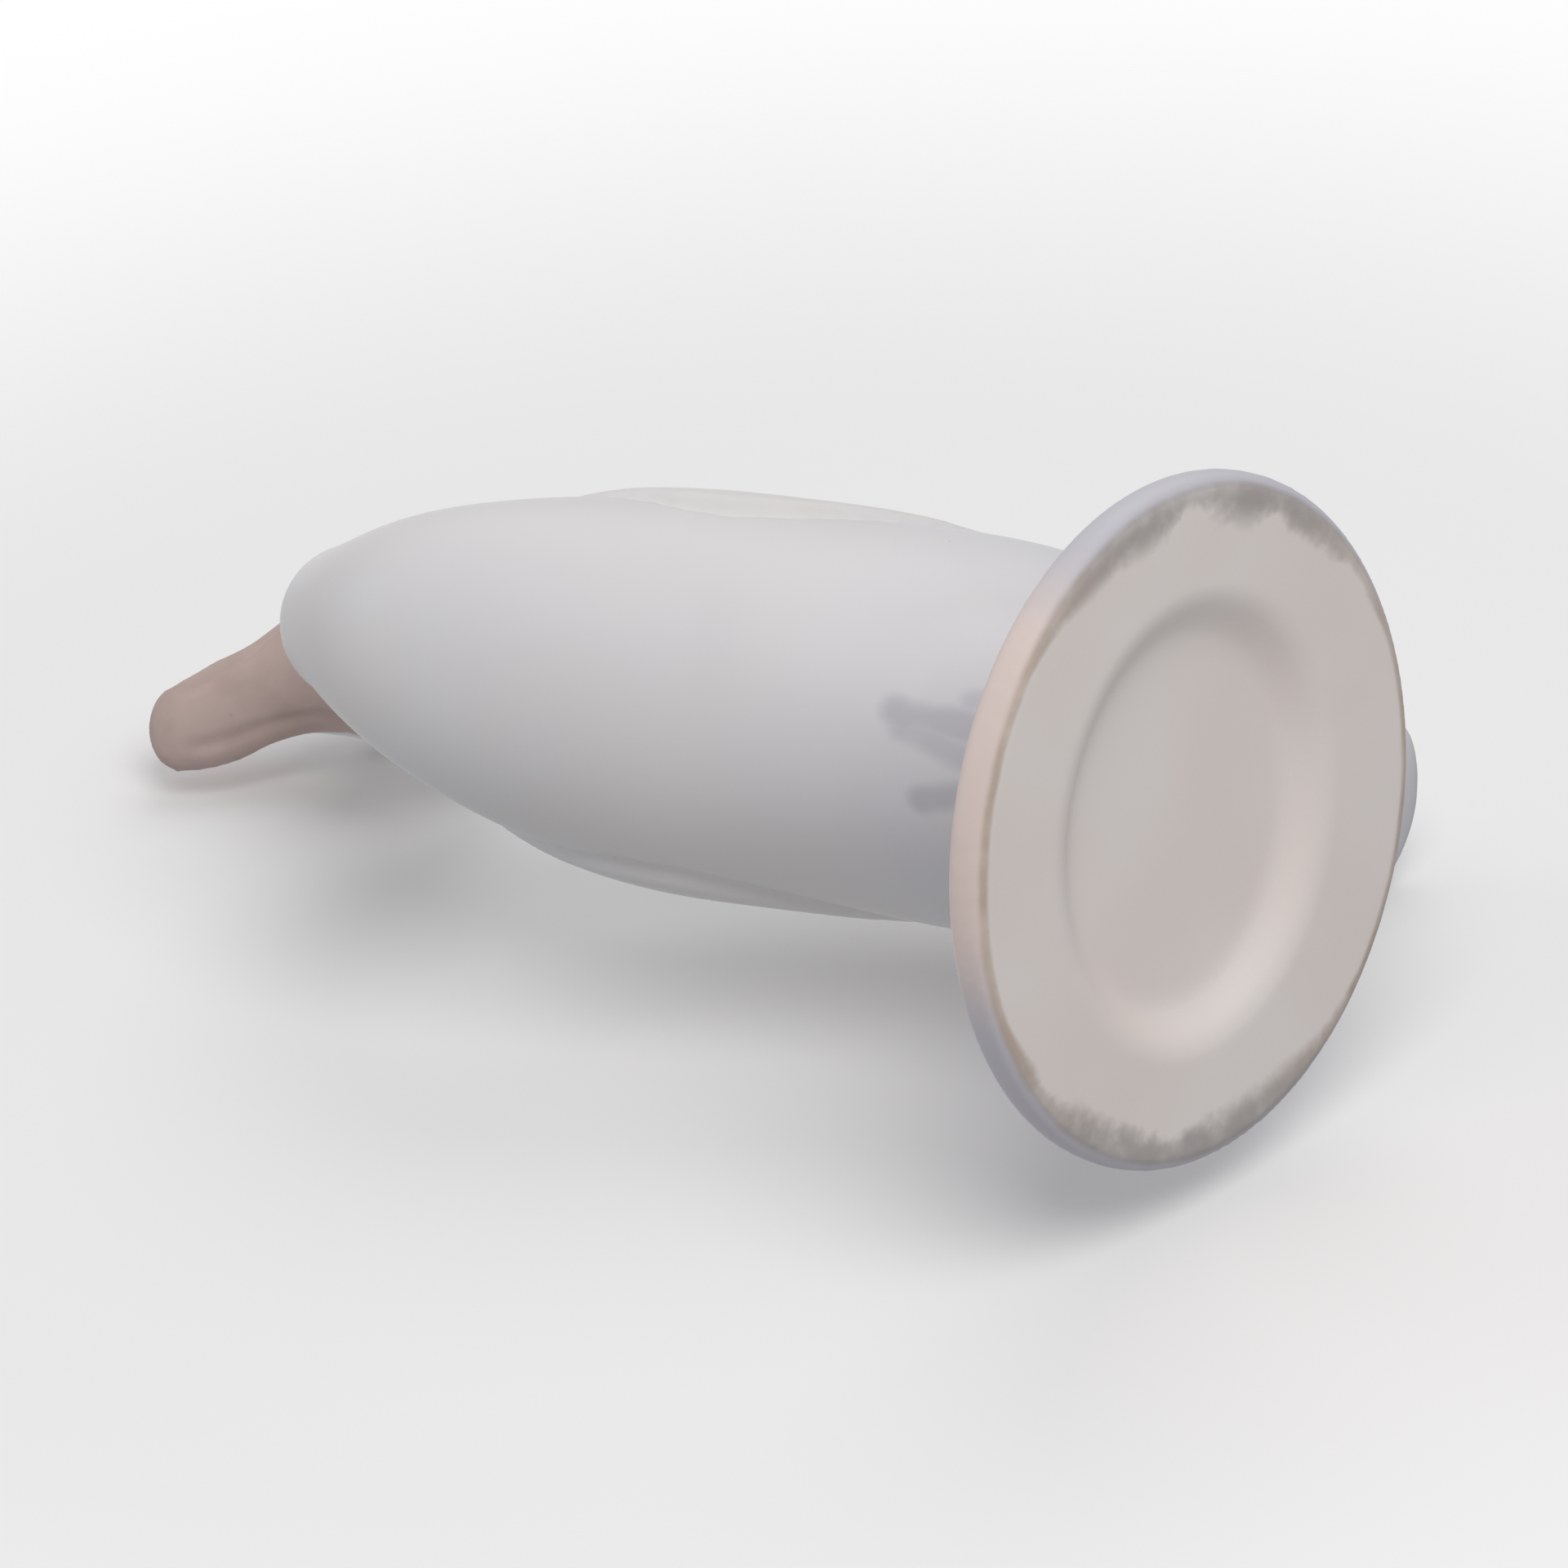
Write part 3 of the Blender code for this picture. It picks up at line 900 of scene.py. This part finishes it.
def foot_radius(finish, side, back):
    """Distance from the foot's middle as a share of its outline, over all and along its length."""
    turn = FOOT_TURN
    across = side - FOOT_SIDE / MM
    forward = (back + FOOT_FRONT / MM) * -1.0
    along = across * math.cos(turn) + forward * math.sin(turn)
    over = forward * math.cos(turn) - across * math.sin(turn)
    long_share = along * (2.0 * MM / FOOT_WIDTH)
    short_share = over * (2.0 * MM / FOOT_DEPTH)
    return finish.maths("SQRT", long_share * long_share + short_share * short_share), long_share


def porcelain_finish():
    """White satin glaze with painted bill, eyes, feet and strokes, painted shade low on the body and
    in patches on the bill, and a bare underside.
    """
    finish = Finish("satin_porcelain")
    spot = finish.spot()
    side, back, height = (finish.part_of(spot, axis) for axis in range(3))
    clouds = finish.noise(spot, CLOUD_GRAIN, 2.0)
    mottle = finish.noise(spot, MOTTLE_GRAIN, 4.0)
    grain = finish.noise(spot, FINE_GRAIN, 2.0)
    waver = finish.noise(spot, WAVER_GRAIN, 4.0, 0.62)
    ragged = mottle - 0.5

    colour = finish.mix(clouds.ramp(0.35, 0.65), WHITE_GLAZE, WARM_GLAZE)
    # Painted shade: the body turns darker and lilac towards the foot, as where shade falls under the
    # belly
    low = 1.0 - (height + ragged * 6.0).ramp(*LILAC_SHADE_BAND)
    colour = finish.mix(low * 0.75, colour, LILAC_PAINTED_SHADE)
    colour = finish.mix(mottle.ramp(0.62, 0.8) * 0.22, colour, BISCUIT)

    foot_share, long_share = foot_radius(finish, side, back)
    on_foot = 1.0 - height.ramp(*FOOT_TOP_BAND)
    colour = finish.mix(on_foot * 0.85, colour, FOOT_GLAZE)
    ahead = (back * -1.0 + ragged * 3.0).ramp(*WEB_BAND_FRONT)
    between = 1.0 - (side.size() + ragged * 3.0).ramp(*WEB_BAND_SIDE)
    colour = finish.mix(ahead * between * on_foot * 0.95, colour, WEB_PAINT)
    colour = finish.mix(strokes_mask(finish, spot, ragged), colour, STROKE_PAINT)

    brow = finish.past_plane(spot, BILL_LINE, BILL_AHEAD) + ragged * 0.8
    chin = finish.past_plane(spot, CHIN_LINE, CHIN_AHEAD) + ragged * 0.8
    bill = brow.ramp(*BILL_LINE_SOFTNESS) * chin.ramp(*CHIN_LINE_SOFTNESS)
    bill = bill * height.ramp(*HEAD_FROM)
    # Bill paint blotched with patches of its painted shade
    bill_colour = finish.mix(mottle.ramp(0.3, 0.75), BILL_PAINT, BILL_PAINTED_SHADE)
    bill_colour = finish.mix(0.35, bill_colour, BILL_PAINT)
    colour = finish.mix(bill, colour, bill_colour)
    nostril = 1.0 - nearest_spot(finish, spot, nostril_places()).ramp(*NOSTRIL_EDGE)
    colour = finish.mix(nostril * 0.8, colour, NOSTRIL_PAINT)
    eye = 1.0 - nearest_spot(finish, spot, eye_places()).ramp(*EYE_EDGE)
    colour = finish.mix(eye, colour, EYE_PAINT)

    edge = (1.0 - foot_share) * (FOOT_DEPTH / MM / 2.0) + ragged * 0.35
    rim = 1.0 - height.ramp(*GLAZE_LINE_HEIGHT)
    recess = (1.0 - foot_share.ramp(*RECESS_EDGE)) * (1.0 - height.ramp(*RECESS_HEIGHT))
    bare = (rim * edge.ramp(*GLAZE_LINE_SOFTNESS)).higher(recess)
    biscuit = finish.mix(clouds.ramp(0.4, 0.62), BISCUIT, BISCUIT_PALE)
    colour = finish.mix(bare, colour, biscuit)
    ends = long_share.size().ramp(*STAIN_ENDS)
    narrow, wider, uneven = STAIN_WIDTH
    stain_width = narrow + ends * (wider + waver.ramp(0.3, 0.65) * uneven)
    stained = 1.0 - ((edge - GLAZE_LINE) / stain_width).ramp(0.3, 1.2)
    stained = edge.ramp(STAIN_START, GLAZE_LINE) * stained
    stain_colour = finish.mix(ends, TAN_STAIN, GREY_STAIN)
    patchy = 0.5 + waver.ramp(0.35, 0.62) * 0.35
    colour = finish.mix(stained * rim * patchy, colour, stain_colour)
    kiln_spot = 1.0 - finish.from_point(spot, KILN_SPOT).ramp(*KILN_SPOT_EDGE)
    colour = finish.mix(kiln_spot * 0.45, colour, GREY_STAIN)

    cells = {"Vector": spot, "Scale": 1.0 / SPECK_SPACING}
    near = finish.node("ShaderNodeTexVoronoi", inputs=cells)
    pick = finish.part_of(finish.node("ShaderNodeTexVoronoi", inputs=cells, output=1), 0)
    specks = (1.0 - near.ramp(*SPECK_EDGE)) * pick.ramp(*SPECK_PICK)
    colour = finish.mix(specks * 0.6, colour, SPECK)

    rough = GLAZE_ROUGHNESS + ragged * 0.12 + bare * 0.24 + bill * 0.04 - eye * 0.36 - low * 0.02
    relief = mottle * 0.35 + grain * (0.05 + bare * 0.5)
    inputs = {"Strength": RELIEF_STRENGTH, "Distance": RELIEF_HEIGHT, "Height": relief}
    bumped = finish.node("ShaderNodeBump", inputs=inputs)
    finish.set(base_color=colour, roughness=rough, normal=bumped)
    return finish.material


# Stage
STAGE_REACH = 0.24
STAGE_SEGMENTS = 96
STAGE_FADE = (0.09, 0.22)
STAGE_COLOUR = (0.97, 0.965, 0.96, 1.0)
TABLE_NORMAL = (0.879, -0.464, -0.115)
TABLE_GAP = 0.1 * MM


def stage_finish():
    """Pale surface that fades into the background and isn't seen from behind."""
    finish = Finish("pale_paper")
    around = finish.node("ShaderNodeTexCoord", output=3)
    far = finish.vector("LENGTH", around, output=1).ramp(*STAGE_FADE)
    behind = finish.node("ShaderNodeNewGeometry", output=6)
    clear = far.higher(behind)
    finish.set(base_color=STAGE_COLOUR, roughness=1.0, alpha=1.0 - clear)
    finish.shader.inputs["Specular IOR Level"].default_value = 0.0
    return finish.material


def add_sheet(name, centre, normal):
    mesh = bpy.data.meshes.new(name)
    work = bmesh.new()
    bmesh.ops.create_circle(work, cap_ends=True, segments=STAGE_SEGMENTS, radius=STAGE_REACH)
    work.to_mesh(mesh)
    work.free()
    sheet = bpy.data.objects.new(name, mesh)
    bpy.context.scene.collection.objects.link(sheet)
    sheet.rotation_mode = "QUATERNION"
    sheet.rotation_quaternion = Vector(normal).to_track_quat("Z", "Y")
    sheet.location = centre
    sheet.data.materials.append(stage_finish())
    for ray in ("shadow", "diffuse", "glossy", "transmission"):
        setattr(sheet, "visible_" + ray, False)


def add_stage(body):
    """A shelf under the foot, and the tabletop on which the photograph shows the figurine lying."""
    add_sheet("shelf", (0.0, 0.0, -TABLE_GAP), (0.0, 0.0, 1.0))
    normal = np.array(TABLE_NORMAL)
    normal /= np.linalg.norm(normal)
    points = read_points(body.data)
    lowest = (points @ normal).min() - TABLE_GAP
    middle = points.mean(axis=0)
    add_sheet("tabletop", middle + normal * (lowest - middle @ normal), normal)


class Lamp(NamedTuple):
    """A round soft light: which way it lies, its width in metres, power in watts and colour."""

    name: str
    towards: tuple
    size: float
    power: float
    colour: tuple


# Light
LAMPS = (
    Lamp("window", (0.62, -0.55, -0.56), 0.7, 3.3, (1.0, 0.995, 0.985)),
    Lamp("skylight", (1.0, 0.1, 0.2), 0.6, 1.3, (0.985, 0.99, 1.0)),
    Lamp("doorway", (0.1, -0.6, 0.8), 0.7, 1.2, (0.985, 0.99, 1.0)),
    Lamp("room", (0.0, 0.6, 0.8), 0.7, 1.2, (0.98, 0.985, 1.0)),
)
LAMP_AIM = (0.0, 0.0, 0.06)
LAMP_DISTANCE = 0.9
WORLD_LEVEL = 0.40
WORLD_COLOUR = (0.985, 0.985, 1.0, 1.0)
WHITE = (1.0, 1.0, 1.0, 1.0)


def add_lamp(lamp):
    data = bpy.data.lights.new(lamp.name, "AREA")
    data.shape = "DISK"
    data.size = lamp.size
    data.energy = lamp.power
    data.color = lamp.colour
    obj = bpy.data.objects.new(lamp.name, data)
    bpy.context.scene.collection.objects.link(obj)
    direction = Vector(lamp.towards).normalized()
    obj.location = Vector(LAMP_AIM) + direction * LAMP_DISTANCE
    obj.rotation_mode = "QUATERNION"
    obj.rotation_quaternion = direction.to_track_quat("Z", "Y")


def add_world():
    """White to the camera, and an even pale light on the figurine."""
    world = bpy.data.worlds.new("studio")
    bpy.context.scene.world = world
    world.use_nodes = True
    nodes = world.node_tree.nodes
    links = world.node_tree.links
    background = nodes["Background"]
    background.inputs["Color"].default_value = WORLD_COLOUR
    background.inputs["Strength"].default_value = WORLD_LEVEL
    seen = nodes.new("ShaderNodeBackground")
    seen.inputs["Color"].default_value = WHITE
    path = nodes.new("ShaderNodeLightPath")
    mixed = nodes.new("ShaderNodeMixShader")
    links.new(path.outputs["Is Camera Ray"], mixed.inputs[0])
    links.new(background.outputs[0], mixed.inputs[1])
    links.new(seen.outputs[0], mixed.inputs[2])
    links.new(mixed.outputs[0], nodes["World Output"].inputs["Surface"])


def add_camera():
    data = bpy.data.cameras.new("photo_camera")
    data.lens = CAMERA_LENS
    data.sensor_width = CAMERA_SENSOR
    data.clip_start, data.clip_end = CAMERA_CLIP
    camera = bpy.data.objects.new("photo_camera", data)
    bpy.context.scene.collection.objects.link(camera)
    eye = Vector(place(*CAMERA_PLACE))
    towards = (eye - Vector(place(*CAMERA_AIM))).normalized()
    level = Vector((-towards.y, towards.x, 0.0)).normalized()
    upward = towards.cross(level)
    across = level * math.cos(CAMERA_ROLL) + upward * math.sin(CAMERA_ROLL)
    above = towards.cross(across)
    turn = Matrix((across, above, towards)).transposed().to_4x4()
    camera.matrix_world = Matrix.Translation(eye) @ turn
    bpy.context.scene.camera = camera


def main():
    bpy.context.scene.view_settings.view_transform = "Standard"
    body = model_porcelain()
    body.data.materials.append(porcelain_finish())
    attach(body, "root")
    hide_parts(FIGURINE)
    add_stage(body)
    for lamp in LAMPS:
        add_lamp(lamp)
    add_world()
    add_camera()


main()
